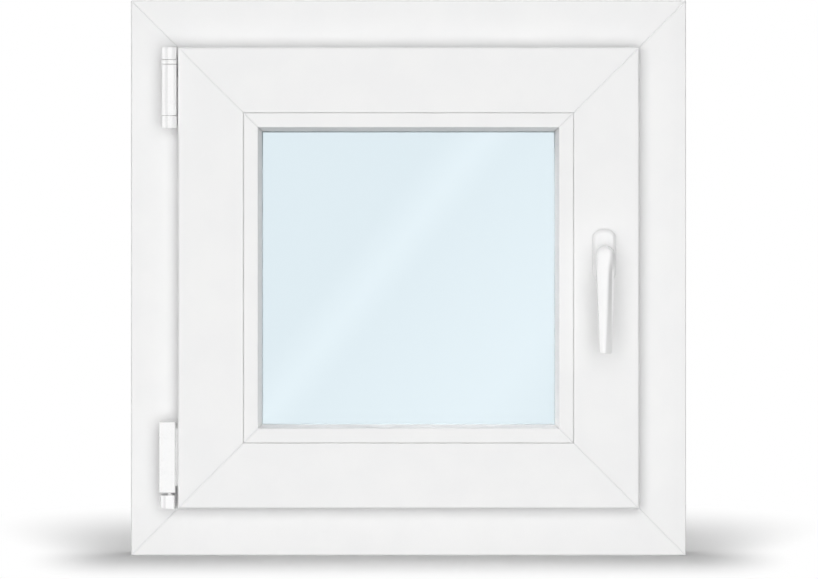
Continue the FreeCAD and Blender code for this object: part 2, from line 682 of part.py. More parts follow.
def lever_section(share):
    """Lever section with a flute beside its ridge, share 0 at the handle axis and 1 at the free end."""
    width = 2 * HUB_RADIUS + (LEVER_END_WIDTH - 2 * HUB_RADIUS) * share
    centre = HANDLE_X + LEVER_END_SHIFT * share
    ridge = centre + LEVER_RIDGE_ROOT + (LEVER_RIDGE_END - LEVER_RIDGE_ROOT) * share
    rim = LEVER_RIM_ROOT + (LEVER_RIM_END - LEVER_RIM_ROOT) * share
    thickness = LEVER_ROOT_THICKNESS + (LEVER_END_THICKNESS - LEVER_ROOT_THICKNESS) * share
    bow = LEVER_BOW * 4 * share * (1 - share)
    front = SASH_FRONT - ROSETTE_THICKNESS - HUB_BACK - HUB_DEPTH - bow
    back = front + thickness
    z = HANDLE_HEIGHT - LEVER_LENGTH * share
    left = centre - width / 2
    right = centre + width / 2
    return rounded_wire([
        (Vector(left, back, z), LEVER_CORNER),
        (Vector(left, front + thickness / 3, z), LEVER_CORNER),
        (Vector(ridge, front, z), LEVER_CORNER),
        (Vector(right - rim, front + thickness * LEVER_FLUTE, z), LEVER_CORNER),
        (Vector(right, front + thickness * LEVER_RIM, z), LEVER_CORNER),
        (Vector(right - width / 8, back, z), LEVER_CORNER),
    ], True)


def domed_profile(radius, back, front, rounding):
    """Half section of a disc across Y, its front rim rounded off in flats."""
    points = [Vector(0, back, 0), Vector(radius, back, 0)]
    for step in range(ROUND_FLATS + 1):
        angle = math.pi / 2 * step / ROUND_FLATS
        inset = rounding * (1 - math.cos(angle))
        points.append(Vector(radius - inset, front + rounding * (1 - math.sin(angle)), 0))
    points.append(Vector(0, front, 0))
    points.append(points[0])
    return Part.Face(Part.makePolygon(points))


def rosette_quarter(turn):
    """Rounded corner of the rosette with the side that follows it, about the spindle."""
    half_width = ROSETTE_WIDTH / 2 - ROSETTE_CORNER
    half_height = ROSETTE_HEIGHT / 2 - ROSETTE_CORNER
    level = turn % 180 == 0
    along = half_height if level else half_width
    out = half_width if level else half_height
    profile = domed_profile(ROSETTE_CORNER, SASH_FRONT, SASH_FRONT - ROSETTE_THICKNESS, ROSETTE_ROUND)
    profile = profile.translated(Vector(out, 0, -along))
    corner = profile.revolve(Vector(out, 0, -along), Vector(0, 1, 0), 90)
    side = profile.extrude(Vector(0, 0, 2 * along))
    core = box(0, out, SASH_FRONT - ROSETTE_THICKNESS, SASH_FRONT, -along, along)
    return placed(corner.fuse([side, core]), 0, 0, turn)


def build_handle():
    base = SASH_FRONT - ROSETTE_THICKNESS
    spindle = Vector(0, 1, 0)
    rosette = rosette_quarter(0).fuse([rosette_quarter(turn) for turn in (90, 180, 270)])
    rosette = placed(rosette.removeSplitter(), HANDLE_X, HANDLE_HEIGHT, 0)
    socket = rod_y(HANDLE_X, base, base + ROSETTE_SOCKET, HANDLE_HEIGHT, NECK_RADIUS + NECK_PLAY)
    save(rosette.cut(socket), "handle_rosette")

    neck = rod_y(
        HANDLE_X, base - HUB_BACK - 1, base + ROSETTE_SOCKET - NECK_PLAY, HANDLE_HEIGHT, NECK_RADIUS)
    hub = domed_profile(HUB_RADIUS, base - HUB_BACK, base - HUB_BACK - HUB_DEPTH, HUB_ROUND)
    hub = placed(hub.revolve(Vector(0, 0, 0), spindle, 360), HANDLE_X, HANDLE_HEIGHT, 0)
    blade = Part.makeLoft([lever_section(share) for share in (0.0, 0.3, 0.6, 1.0)], True, False)
    save(hub.fuse([neck, blade]).removeSplitter(), "handle_lever")


def build_lock_gear():
    x_floor = FRAME_WIDTH / 2 - GROOVE_FLOOR
    middle = FRAME_HEIGHT / 2
    plate = box(
        x_floor, x_floor + PLATE_THICKNESS,
        GROOVE_CENTRE - PLATE_WIDTH / 2, GROOVE_CENTRE + PLATE_WIDTH / 2,
        middle - PLATE_LENGTH / 2, middle + PLATE_LENGTH / 2)
    save(plate, "lock_faceplate")
    cams = []
    keeps = []
    x_rebate = FRAME_WIDTH / 2 - REBATE
    for z in (middle - CAM_SPACING / 2, middle + CAM_SPACING / 2):
        x_plate = x_floor + PLATE_THICKNESS
        stem = rod_x(x_plate, x_plate + CAM_REACH, GROOVE_CENTRE, z, CAM_RADIUS)
        head = rod_x(
            x_plate + CAM_REACH - CAM_HEAD_THICKNESS, x_plate + CAM_REACH, GROOVE_CENTRE, z, CAM_HEAD_RADIUS)
        cams.append(stem.fuse(head).removeSplitter())
        keep_z = z + KEEP_OFFSET
        keep_front = GROOVE_CENTRE - CAM_HEAD_RADIUS
        base = box(
            x_rebate - KEEP_BASE, x_rebate,
            keep_front, keep_front + KEEP_WIDTH, keep_z, keep_z + KEEP_LENGTH)
        lip = box(
            x_rebate - KEEP_LIP_RISE, x_rebate,
            keep_front, keep_front + KEEP_LIP, keep_z, keep_z + KEEP_LENGTH)
        keeps.append(base.fuse(lip).removeSplitter())
    save(Part.makeCompound(cams), "locking_cams")
    save(Part.makeCompound(keeps), "lock_keeps")


build_frame()
build_sash()
build_glazing()
build_top_hinge()
build_stay_arm()
build_bottom_hinge()
build_handle()
build_lock_gear()
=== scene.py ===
"""Looks of a white tilt and turn window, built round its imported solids."""
import logging
import math
from dataclasses import dataclass
from enum import Enum
from typing import Any, Iterable, Optional, Sequence, Union

import bmesh
import bpy
from mathutils import Matrix, Vector


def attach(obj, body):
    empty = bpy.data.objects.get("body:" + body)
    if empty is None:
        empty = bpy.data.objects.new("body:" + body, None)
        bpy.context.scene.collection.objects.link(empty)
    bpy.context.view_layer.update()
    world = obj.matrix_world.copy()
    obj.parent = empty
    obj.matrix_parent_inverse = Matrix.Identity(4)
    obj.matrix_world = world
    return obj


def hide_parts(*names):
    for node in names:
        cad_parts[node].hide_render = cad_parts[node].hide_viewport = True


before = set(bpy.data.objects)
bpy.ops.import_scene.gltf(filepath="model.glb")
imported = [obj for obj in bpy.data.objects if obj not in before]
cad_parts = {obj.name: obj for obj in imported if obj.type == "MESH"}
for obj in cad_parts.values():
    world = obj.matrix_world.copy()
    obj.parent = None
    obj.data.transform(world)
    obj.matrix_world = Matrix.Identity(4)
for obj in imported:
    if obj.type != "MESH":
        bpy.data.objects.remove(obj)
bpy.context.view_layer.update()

LOG = logging.getLogger("window")
MM = 0.001
MERGE = 0.002 * MM
SHARP = math.radians(40)
TRIM_SHARE = 0.48
NOISE_MIDDLE = 0.5
CLOUD_EDGES = (0.3, 0.7)
PLASTIC_IOR = 1.5
Colour = tuple[float, float, float]
Loop = list[Vector]


class Grain(Enum):
    """Direction in which a profile was drawn through its die."""

    LEVEL = "level"
    UPRIGHT = "upright"
    MOULDED = "moulded"


class Facing(Enum):
    """Direction that a screw head looks in."""

    LOCK_SIDE = (1.0, 0.0, 0.0)
    HINGE_SIDE = (-1.0, 0.0, 0.0)
    UP = (0.0, 0.0, 1.0)


# Shader maths


class Wire:
    """A socket whose operators add Math nodes to its tree."""

    def __init__(self, tree: bpy.types.NodeTree, socket: bpy.types.NodeSocket) -> None:
        """Keeps the tree and the output socket."""
        self.tree = tree
        self.socket = socket

    def _math(self, operation: str, *values: "Number") -> "Wire":
        """Adds a Math node.

        Args:
            operation: name of the Math operation.
            values: its inputs in order, wires or plain numbers.

        Returns:
            The node's result.
        """
        node = self.tree.nodes.new("ShaderNodeMath")
        node.operation = operation
        for slot, value in zip(node.inputs, values):
            if isinstance(value, Wire):
                self.tree.links.new(value.socket, slot)
            else:
                slot.default_value = value
        return Wire(self.tree, node.outputs[0])

    def __add__(self, other: "Number") -> "Wire":
        """Sum."""
        return self._math("ADD", self, other)

    __radd__ = __add__

    def __sub__(self, other: "Number") -> "Wire":
        """Difference."""
        return self._math("SUBTRACT", self, other)

    def __rsub__(self, other: "Number") -> "Wire":
        """Difference from a plain number."""
        return self._math("SUBTRACT", other, self)

    def __mul__(self, other: "Number") -> "Wire":
        """Product."""
        return self._math("MULTIPLY", self, other)

    __rmul__ = __mul__

    def __truediv__(self, other: "Number") -> "Wire":
        """Quotient."""
        return self._math("DIVIDE", self, other)

    def __abs__(self) -> "Wire":
        """Size without sign."""
        return self._math("ABSOLUTE", self)

    def least(self, other: "Number") -> "Wire":
        """Smaller of two values."""
        return self._math("MINIMUM", self, other)

    def most(self, other: "Number") -> "Wire":
        """Larger of two values."""
        return self._math("MAXIMUM", self, other)

    def sway(self, amount: float) -> "Wire":
        """Swing of a noise about zero, half the amount each way."""
        return (self - NOISE_MIDDLE) * amount

    def root(self) -> "Wire":
        """Square root."""
        return self._math("SQRT", self)

    def step_up(self, low: float, high: float) -> "Wire":
        """Smooth step from 0 at low to 1 at high.

        Args:
            low: value at which the step starts.
            high: value at which it ends.

        Returns:
            The stepped value.
        """
        node = self.tree.nodes.new("ShaderNodeMapRange")
        node.interpolation_type = "SMOOTHSTEP"
        self.tree.links.new(self.socket, node.inputs["Value"])
        node.inputs["From Min"].default_value = low
        node.inputs["From Max"].default_value = high
        return Wire(self.tree, node.outputs["Result"])


Number = Union[Wire, float, int]


class Recipe:
    """Node tree of one material or of the world, filled by named helpers."""

    def __init__(self, owner: Union[bpy.types.Material, bpy.types.World]) -> None:
        """Empties the owner's tree and keeps it."""
        owner.use_nodes = True
        self.owner = owner
        self.tree = owner.node_tree
        self.tree.nodes.clear()

    def node(self, kind: str, settings: Optional[dict[str, Any]] = None,
             sockets: Optional[dict[Union[str, int], Any]] = None) -> bpy.types.Node:
        """Adds a node.

        Args:
            kind: node type.
            settings: attributes of the node, set first; "stops" fills a colour ramp.
            sockets: values or wires by socket name, identifier or number.

        Returns:
            The new node.
        """
        node = self.tree.nodes.new(kind)
        for key, value in (settings or {}).items():
            if key == "stops":
                ramp = node.color_ramp
                while len(ramp.elements) < len(value):
                    ramp.elements.new(0.5)
                for element, (place, level) in zip(ramp.elements, value):
                    element.position = place
                    element.color = (level, level, level, 1.0)
            else:
                setattr(node, key, value)
        for key, value in (sockets or {}).items():
            slot = self._socket(node.inputs, key)
            if isinstance(value, Wire):
                self.tree.links.new(value.socket, slot)
            else:
                slot.default_value = value
        return node

    @staticmethod
    def _socket(sockets: Any, key: Union[str, int]) -> bpy.types.NodeSocket:
        """Finds a socket by number, identifier or name.

        Args:
            sockets: a node's inputs or outputs.
            key: number, identifier or name.

        Returns:
            The socket.
        """
        for socket in sockets:
            if socket.identifier == key:
                return socket
        return sockets[key]

    def out(self, node: bpy.types.Node, name: Union[str, int] = 0) -> Wire:
        """Output of a node as a wire."""
        return Wire(self.tree, self._socket(node.outputs, name))

    def place(self) -> Wire:
        """Object coordinates, which are the window's own frame in metres."""
        return self.out(self.node("ShaderNodeTexCoord"), "Object")

    def axes(self) -> tuple[Wire, Wire, Wire]:
        """X, Y and Z of the object coordinates."""
        parts = self.node("ShaderNodeSeparateXYZ", sockets={0: self.place()})
        return self.out(parts, 0), self.out(parts, 1), self.out(parts, 2)

    def noise(self, stretch: Colour, detail: float = 2.0, roughness: float = 0.5) -> Wire:
        """Noise over the object coordinates.

        Args:
            stretch: waves in a metre along X, Y and Z.
            detail: octaves of the noise.
            roughness: weight of the finer octaves.

        Returns:
            A value about 0.5, between 0 and 1.
        """
        mapping = self.node("ShaderNodeMapping", sockets={"Vector": self.place(), "Scale": stretch})
        node = self.node("ShaderNodeTexNoise", sockets={
            "Vector": self.out(mapping), "Scale": 1.0, "Detail": detail, "Roughness": roughness})
        return self.out(node, "Fac")

    def mix(self, factor: Number, low: Any, high: Any) -> Wire:
        """Colour between two colours.

        Args:
            factor: share of the second colour.
            low: first colour, wire or RGB.
            high: second colour, wire or RGB.

        Returns:
            The mixed colour.
        """
        sockets = {"Factor_Float": factor}
        for key, value in (("A_Color", low), ("B_Color", high)):
            sockets[key] = value if isinstance(value, Wire) else (*value, 1.0)
        node = self.node("ShaderNodeMix", {"data_type": "RGBA"}, sockets)
        return self.out(node, "Result_Color")

    def bump(self, height: Wire, distance: float, strength: float = 1.0) -> Wire:
        """Normal bent by a height.

        Args:
            height: height of 0 to 1.
            distance: metres that a height of 1 stands for.
            strength: share of the effect.

        Returns:
            The bent normal.
        """
        node = self.node("ShaderNodeBump", sockets={
            "Height": height, "Distance": distance, "Strength": strength})
        return self.out(node)

    def surface(self, sockets: dict[Union[str, int], Any]) -> None:
        """Ends the tree in a Principled shader with the given sockets."""
        shader = self.node("ShaderNodeBsdfPrincipled", sockets=sockets)
        self.node("ShaderNodeOutputMaterial", sockets={"Surface": self.out(shader)})


# Finishes


@dataclass(frozen=True)
class WhitePlastic:
    """White window profile: fine draw lines, faint mottle and a cleaned weld along each mitre."""

    name: str
    grain: Grain
    pale: Colour = (0.888, 0.888, 0.886)
    deep: Colour = (0.872, 0.873, 0.874)
    weld: Colour = (0.822, 0.824, 0.827)
    roughness: float = 0.34
    half_width: float = 300 * MM
    height: float = 600 * MM
    weld_reach: float = 3.2 * MM
    waves_along: float = 2.0
    waves_across: float = 950.0
    mottle_waves: float = 24.0
    line_sheen: float = 0.12
    mottle_sheen: float = 0.06
    line_depth: float = 0.02 * MM

    def draw_lines(self, recipe: Recipe) -> Wire:
        """Noise drawn out along the profile.

        Args:
            recipe: tree to add to.

        Returns:
            Height of the draw lines, 0 to 1.
        """
        along, across = self.waves_along, self.waves_across
        stretch = {
            Grain.LEVEL: (along, across, across),
            Grain.UPRIGHT: (across, across, along),
            Grain.MOULDED: (across, across, across),
        }[self.grain]
        return recipe.noise(stretch, detail=3.0, roughness=0.6)

    def build(self) -> bpy.types.Material:
        """Makes the material.

        Returns:
            The finished material.
        """
        recipe = Recipe(bpy.data.materials.new(self.name))
        lines = self.draw_lines(recipe)
        mottle = recipe.noise((self.mottle_waves,) * 3, detail=3.0)
        colour = recipe.mix(mottle.step_up(*CLOUD_EDGES), self.deep, self.pale)
        if self.grain is not Grain.MOULDED:
            x, _, z = recipe.axes()
            inward_x = self.half_width - abs(x)
            inward_z = z.least(self.height - z)
            seam = 1 - abs(inward_x - inward_z).step_up(0.0, self.weld_reach)
            colour = recipe.mix(seam, colour, self.weld)
        recipe.surface({
            "Base Color": colour,
            "Roughness": (
                self.roughness + lines.sway(self.line_sheen) + mottle.sway(self.mottle_sheen)),
            "IOR": PLASTIC_IOR,
            "Normal": recipe.bump(lines, self.line_depth, strength=0.6),
        })
        return recipe.owner


@dataclass(frozen=True)
class CoatedMetal:
    """White stove coat on metal: fine orange peel, paler than the profiles, with painted shade
    greying a groove.
    """

    name: str
    pale: Colour = (0.958, 0.958, 0.958)
    deep: Colour = (0.944, 0.945, 0.946)
    roughness: float = 0.28
    peel: float = 900.0
    groove: Optional[float] = None
    groove_shade_edges: tuple[float, float] = (0.6 * MM, 1.8 * MM)
    groove_shade_tint: Colour = (0.82, 0.82, 0.822)
    cloud_waves: float = 60.0
    peel_sheen: float = 0.08
    cloud_sheen: float = 0.05
    peel_depth: float = 0.006 * MM
    varnish: float = 0.25
    varnish_roughness: float = 0.12

    def build(self) -> bpy.types.Material:
        """Makes the material.

        Returns:
            The finished material.
        """
        recipe = Recipe(bpy.data.materials.new(self.name))
        peel = recipe.noise((self.peel,) * 3)
        cloud = recipe.noise((self.cloud_waves,) * 3)
        coat = recipe.mix(cloud.step_up(*CLOUD_EDGES), self.deep, self.pale)
        # Painted shade: the coat turns towards a grey tint along the groove, where shade falls.
        if self.groove is not None:
            x, _, _ = recipe.axes()
            beside = abs(x - self.groove).step_up(*self.groove_shade_edges)
            coat = recipe.mix(beside, self.groove_shade_tint, coat)
        recipe.surface({
            "Base Color": coat,
            "Roughness": (
                self.roughness + peel.sway(self.peel_sheen) + cloud.sway(self.cloud_sheen)),
            "IOR": PLASTIC_IOR,
            "Coat Weight": self.varnish,
            "Coat Roughness": self.varnish_roughness,
            "Normal": recipe.bump(peel, self.peel_depth, strength=0.5),
        })
        return recipe.owner


@dataclass(frozen=True)
class SealRubber:
    """Light grey soft seal with a dull, finely pitted and slightly cloudy skin."""

    name: str
    pale: Colour = (0.50, 0.505, 0.51)
    deep: Colour = (0.40, 0.405, 0.41)
    roughness: float = 0.62
    pit_waves: float = 1400.0
    cloud_waves: float = 40.0
    pit_sheen: float = 0.25
    pit_depth: float = 0.05 * MM

    def build(self) -> bpy.types.Material:
        """Makes the material.

        Returns:
            The finished material.
        """
        recipe = Recipe(bpy.data.materials.new(self.name))
        pits = recipe.noise((self.pit_waves,) * 3, detail=3.0, roughness=0.6)
        cloud = recipe.noise((self.cloud_waves,) * 3)
        recipe.surface({
            "Base Color": recipe.mix(cloud, self.deep, self.pale),
            "Roughness": self.roughness + pits.sway(self.pit_sheen),
            "Normal": recipe.bump(pits, self.pit_depth, strength=0.7),
        })
        return recipe.owner


@dataclass(frozen=True)
class PaneGlass:
    """Clear float glass, pale blue, with barely seen wipe marks in its polish."""

    name: str
    clear: Colour = (0.877, 0.935, 0.962)
    cool: Colour = (0.873, 0.933, 0.961)
    ior: float = 1.48
    wipe_waves: Colour = (9.0, 9.0, 3.0)
    wipe_start: float = 0.45
    wipe_sheen: float = 0.02

    def build(self) -> bpy.types.Material:
        """Makes the material.

        Returns:
            The finished material.
        """
        recipe = Recipe(bpy.data.materials.new(self.name))
        wipe = recipe.noise(self.wipe_waves)
        recipe.surface({
            "Base Color": recipe.mix(wipe, self.cool, self.clear),
            "Roughness": (wipe - self.wipe_start).most(0.0) * self.wipe_sheen,
            "IOR": self.ior,
            "Transmission Weight": 1.0,
        })
        return recipe.owner


@dataclass(frozen=True)
class BareMetal:
    """Plated or mill metal with brushed lines and cloudy plating."""

    name: str
    pale: Colour
    deep: Colour
    roughness: float
    lines: Colour
    cloud_waves: float = 120.0
    line_sheen: float = 0.2
    cloud_sheen: float = 0.1
    line_depth: float = 0.02 * MM

    def build(self) -> bpy.types.Material:
        """Makes the material.

        Returns:
            The finished material.
        """
        recipe = Recipe(bpy.data.materials.new(self.name))
        brushed = recipe.noise(self.lines, detail=3.0, roughness=0.6)
        cloud = recipe.noise((self.cloud_waves,) * 3, detail=3.0)
        recipe.surface({
            "Base Color": recipe.mix(cloud.step_up(*CLOUD_EDGES), self.deep, self.pale),
            "Metallic": 1.0,
            "Roughness": (
                self.roughness + brushed.sway(self.line_sheen) + cloud.sway(self.cloud_sheen)),
            "Normal": recipe.bump(brushed, self.line_depth, strength=0.5),
        })
        return recipe.owner


@dataclass(frozen=True)
class HalfCoatedMetal:
    """Plated steel whose front, in the hinge barrel, has the hinge's white coat."""

    name: str
    coat: Colour = (0.94, 0.94, 0.94)
    pale: Colour = (0.72, 0.73, 0.74)
    deep: Colour = (0.56, 0.57, 0.59)
    edge: float = -42 * MM
    edge_half: float = 0.4 * MM
    lines: Colour = (40.0, 700.0, 700.0)
    cloud_waves: float = 120.0
    roughness: float = 0.28
    bare_roughness: float = 0.06
    line_sheen: float = 0.15
    line_depth: float = 0.01 * MM

    def build(self) -> bpy.types.Material:
        """Makes the material.

        Returns:
            The finished material.
        """
        recipe = Recipe(bpy.data.materials.new(self.name))
        _, y, _ = recipe.axes()
        bare = y.step_up(self.edge - self.edge_half, self.edge + self.edge_half)
        brushed = recipe.noise(self.lines, detail=3.0, roughness=0.6)
        cloud = recipe.noise((self.cloud_waves,) * 3, detail=3.0)
        plate = recipe.mix(cloud.step_up(*CLOUD_EDGES), self.deep, self.pale)
        recipe.surface({
            "Base Color": recipe.mix(bare, self.coat, plate),
            "Metallic": bare,
            "Roughness": (
                self.roughness + bare * self.bare_roughness + brushed.sway(self.line_sheen)),
            "Normal": recipe.bump(brushed, self.line_depth, strength=0.5),
        })
        return recipe.owner


class Finishes:
    """Every finish of the window, made once."""

    def __init__(self) -> None:
        """Makes the materials."""
        self.level = WhitePlastic("plastic_level", Grain.LEVEL).build()
        self.upright = WhitePlastic("plastic_upright", Grain.UPRIGHT).build()
        self.moulded = WhitePlastic("plastic_moulded", Grain.MOULDED).build()
        self.hinge = CoatedMetal("hinge_coat").build()
        pale, deep = (0.975, 0.975, 0.975), (0.962, 0.963, 0.964)
        # The barrel and bearing coats grey their grooves with painted shade.
        self.barrel = CoatedMetal("barrel_coat", pale, deep, groove=-260.5 * MM).build()
        self.bearing = CoatedMetal("bearing_coat", pale, deep, groove=-262.4 * MM).build()
        self.handle = CoatedMetal(
            "handle_coat", (0.972, 0.972, 0.972), (0.958, 0.959, 0.960), 0.24).build()
        self.rubber = SealRubber("seal_rubber").build()
        self.gasket = SealRubber(
            "gasket_rubber", (0.86, 0.862, 0.864), (0.82, 0.822, 0.825)).build()
        self.glass = PaneGlass("pane_glass").build()
        self.spacer = BareMetal(
            "spacer_mill", (0.78, 0.79, 0.80), (0.68, 0.69, 0.70), 0.36,
            (900.0, 60.0, 900.0)).build()
        self.zinc = BareMetal(
            "zinc_plate", (0.72, 0.73, 0.74), (0.56, 0.57, 0.59), 0.34,
            (300.0, 300.0, 300.0)).build()
        self.arm = HalfCoatedMetal("stay_arm_plate").build()
        # Dark steel: the screw heads' own colour, and painted shade in the spacer's holes.
        self.steel_and_hole_shade = BareMetal(
            "steel_screws_and_hole_shade", (0.50, 0.51, 0.53), (0.36, 0.37, 0.39), 0.40,
            (500.0, 500.0, 500.0)).build()


def dress(finish: bpy.types.Material, *nodes: str) -> None:
    """Gives solids a finish.

    Args:
        finish: material to use.
        nodes: names of the solids.
    """
    for name in nodes:
        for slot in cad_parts[name].material_slots:
            slot.material = finish
        LOG.info("dressed %s in %s", name, finish.name)


# Mesh helpers


def blend(low: float, high: float, share: float) -> float:
    """Value at a share of the way from low to high."""
    return low + (high - low) * share


def link(name: str, data: bpy.types.ID) -> bpy.types.Object:
    """New object at the origin, linked to the scene.

    Args:
        name: name of the object.
        data: its mesh, light or camera.

    Returns:
        The new object.
    """
    made = bpy.data.objects.new(name, data)
    bpy.context.scene.collection.objects.link(made)
    return made


def rounded_loop(corners: Sequence[tuple[float, float, float]],
                 steps: int) -> list[tuple[float, float]]:
    """Closed outline with every corner rounded.

    Args:
        corners: (across, depth, radius) of each corner in order.
        steps: points in each rounding.

    Returns:
        The outline's points, the same number for every corner.
    """
    points = []
    for index, (x, y, radius) in enumerate(corners):
        here = Vector((x, y))
        before = Vector(corners[index - 1][:2]) - here
        after = Vector(corners[(index + 1) % len(corners)][:2]) - here
        half = before.angle(after) / 2
        longest = TRIM_SHARE * min(before.length, after.length)
        trim = min(radius / math.tan(half), longest)
        radius = trim * math.tan(half)
        start = here + before.normalized() * trim
        end = here + after.normalized() * trim
        bisector = (before.normalized() + after.normalized()).normalized()
        centre = here + bisector * (radius / math.sin(half))
        first = start - centre
        sweep = first.angle_signed(end - centre)
        for step in range(steps):
            turn = Matrix.Rotation(-sweep * step / (steps - 1), 2)
            points.append(tuple(centre + turn @ first))
    return points


def skin(loops: Sequence[Loop], shell: bool = False) -> bmesh.types.BMesh:
    """Closed skin over a row of loops with equal numbers of points, both ends capped.

    Args:
        loops: loops in order along the piece.
        shell: whether each loop runs along an outside and back along an inside point for point,
            so that its end is a strip between the two.

    Returns:
        The skin, its doubles merged and its faces pointing outwards.
    """
    mesh = bmesh.new()
    rows = [[mesh.verts.new(point) for point in loop] for loop in loops]
    count = len(rows[0])
    for row, following in zip(rows, rows[1:]):
        for index in range(count):
            after = (index + 1) % count
            mesh.faces.new((row[index], row[after], following[after], following[index]))
    for row in (rows[0], rows[-1]):
        if not shell:
            mesh.faces.new(row)
            continue
        for index in range(count // 2 - 1):
            mesh.faces.new((row[index], row[index + 1], row[-index - 2], row[-index - 1]))
    bmesh.ops.remove_doubles(mesh, verts=mesh.verts, dist=MERGE)
    bmesh.ops.recalc_face_normals(mesh, faces=mesh.faces)
    return mesh


def turned(profile: Sequence[tuple[float, float]], centre: Vector, axis: Vector,
           count: int) -> bmesh.types.BMesh:
    """Skin turned about an axis.

    Args:
        profile: (radius, distance along the axis) of each ring in order.
        centre: point on the axis from which distances count.
        axis: direction of the axis.
        count: points in a ring.

    Returns:
        The closed skin.
    """
    side = axis.orthogonal().normalized()
    up = axis.cross(side).normalized()
    loops = []
    for radius, along in profile:
        ring = []
        for step in range(count):
            angle = 2 * math.pi * step / count
            outward = side * math.cos(angle) + up * math.sin(angle)
            ring.append(centre + axis * along + outward * radius)
        loops.append(ring)
    return skin(loops)


def piece(name: str, meshes: Iterable[bmesh.types.BMesh],
          finish: bpy.types.Material) -> bpy.types.Object:
    """Object at the origin from one or more skins.

    Args:
        name: name of the piece.
        meshes: skins to join; they are freed.
        finish: material of the piece.

    Returns:
        The new object, linked to the scene.
    """
    data = bpy.data.meshes.new(name)
    whole = bmesh.new()
    for mesh in meshes:
        part = bpy.data.meshes.new(name + "_part")
        mesh.to_mesh(part)
        mesh.free()
        whole.from_mesh(part)
        bpy.data.meshes.remove(part)
    whole.to_mesh(data)
    whole.free()
    for face in data.polygons:
        face.use_smooth = True
    data.set_sharp_from_angle(angle=SHARP)
    data.materials.append(finish)
    LOG.info("made %s, %d faces", name, len(data.polygons))
    return link(name, data)


# Patterns of small shapes


class Pattern(Recipe):
    """Geometry node tree that sets one small shape on many points."""

    def __init__(self, name: str, sizes: dict[str, float]) -> None:
        """Makes the tree with a named input for every size."""
        self.tree = bpy.data.node_groups.new(name, "GeometryNodeTree")
        self.sizes = sizes
        sockets = self.tree.interface
        sockets.new_socket("Points", in_out="INPUT", socket_type="NodeSocketGeometry")
        for label in sizes:
            sockets.new_socket(label, in_out="INPUT", socket_type="NodeSocketFloat")
        sockets.new_socket("Pattern", in_out="OUTPUT", socket_type="NodeSocketGeometry")
        self.given = self.node("NodeGroupInput")

    def size(self, label: str) -> Wire:
        """Input of that name."""
        return self.out(self.given, label)

    def vector(self, x: Number, y: Number, z: Number) -> Wire:
        """Vector of three values."""
        return self.out(self.node("ShaderNodeCombineXYZ", sockets={0: x, 1: y, 2: z}))

    def close(self, points: Wire, shape: Wire, facing: Wire, finish: bpy.types.Material) -> None:
        """Ends the tree with the shape on every point, realized and finished.

        Args:
            points: points to fill.
            shape: shape that looks along Z.
            facing: direction in which the shape looks at each point.
            finish: material of the shapes.
        """
        turn = self.node("FunctionNodeAlignRotationToVector", {"axis": "Z"}, {"Vector": facing})
        placed = self.node("GeometryNodeInstanceOnPoints", sockets={
            "Points": points, "Instance": shape, "Rotation": self.out(turn)})
        real = self.node("GeometryNodeRealizeInstances", sockets={"Geometry": self.out(placed)})
        dressed = self.node("GeometryNodeSetMaterial", sockets={
            "Geometry": self.out(real), "Material": finish})
        self.node("NodeGroupOutput", sockets={0: self.out(dressed)})

    def make(self, name: str, points: bpy.types.Mesh) -> bpy.types.Object:
        """Runs the tree and keeps its result as a plain piece.

        Args:
            name: name of the piece.
            points: mesh that the tree is given.

        Returns:
            The new object, linked to the scene.
        """
        carrier = link(name + "_points", points)
        modifier = carrier.modifiers.new("pattern", "NODES")
        modifier.node_group = self.tree
        for item in self.tree.interface.items_tree:
            if item.in_out == "INPUT" and item.name in self.sizes:
                modifier[item.identifier] = self.sizes[item.name]
        grown = carrier.evaluated_get(bpy.context.evaluated_depsgraph_get())
        data = bpy.data.meshes.new_from_object(grown)
        carrier.modifiers.remove(modifier)
        bpy.data.objects.remove(carrier)
        data.name = name
        LOG.info("made %s, %d faces", name, len(data.polygons))
        return link(name, data)


# Sub-assemblies


Spot = tuple[Facing, float, float, float]


